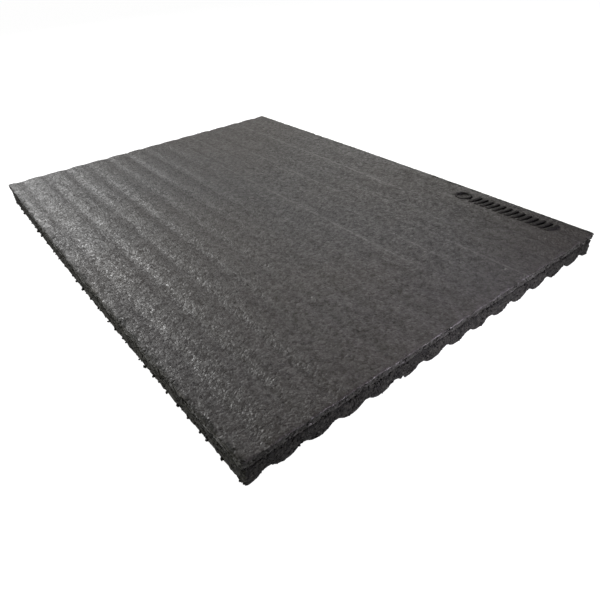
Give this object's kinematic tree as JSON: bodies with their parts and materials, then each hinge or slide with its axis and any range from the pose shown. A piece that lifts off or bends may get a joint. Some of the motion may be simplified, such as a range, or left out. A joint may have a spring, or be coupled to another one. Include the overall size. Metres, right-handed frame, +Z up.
{
  "type": "seedling heat mat",
  "caption": "Thick rectangular rubber mat with a pebbled flat top, rounded ribs underneath and a heating cable sealed inside, its cord gland recessed in one end.",
  "frame": {"origin": "on the floor, under the middle of the mat", "axes": "+X along the ribs, away from the end that has the cord gland; +Y across the ribs, towards the long side that has the raised marking; +Z up"},
  "size_m": [0.73, 0.5318, 0.0318],
  "materials": {
    "wear_rubber": "matt, finely pebbled bonded crumb",
    "base_rubber": "matt, coarse bonded crumb",
    "resistance_wire": "drawn alloy wire",
    "cable_silicone": "smooth silicone",
    "glass_scrim": "open woven glass fibre",
    "foil": "bright, slightly creased",
    "bond_film": "waxy hot-melt film",
    "tinned_crimp": "tinned copper",
    "heat_shrink": "shrunk sleeve",
    "lead_brown": "smooth wire insulation",
    "lead_blue": "smooth wire insulation",
    "lead_green": "smooth wire insulation, green with yellow stripe",
    "rivet_alloy": "satin",
    "seal_rubber": "smooth moulded seal",
    "fuse_metal": "satin case",
    "glass_sleeve": "braided glass fibre",
    "box_plastic": "spark-textured moulding",
    "screw_steel": "zinc plated",
    "block_plastic": "satin moulding",
    "barrel_brass": "turned",
    "gland_plastic": "satin nylon"
  },
  "bodies": {
    "root": {"wear_layer": "wear_rubber", "ribbed_base": "base_rubber", "raised_marking": "wear_rubber", "heating_wire": "resistance_wire", "wire_insulation": "cable_silicone", "carrier_mesh": "glass_scrim", "earth_foil": "foil", "bonding_film": "bond_film", "splice_sleeves": "tinned_crimp", "splice_shrouds": "heat_shrink", "live_lead": "lead_brown", "neutral_lead": "lead_blue", "earth_lead": "lead_green", "earth_terminal": "tinned_crimp", "earth_rivet": "rivet_alloy", "lead_grommets": "seal_rubber", "thermal_fuse": "fuse_metal", "fuse_sleeve": "glass_sleeve", "junction_box": "box_plastic", "junction_lid": "box_plastic", "lid_gasket": "seal_rubber", "lid_screws": "screw_steel", "terminal_block": "block_plastic", "terminal_barrels": "barrel_brass", "terminal_screws": "screw_steel", "gland_body": "gland_plastic", "gland_washer": "seal_rubber", "gland_seal": "seal_rubber", "gland_nut": "gland_plastic"}
  },
  "joints": []
}
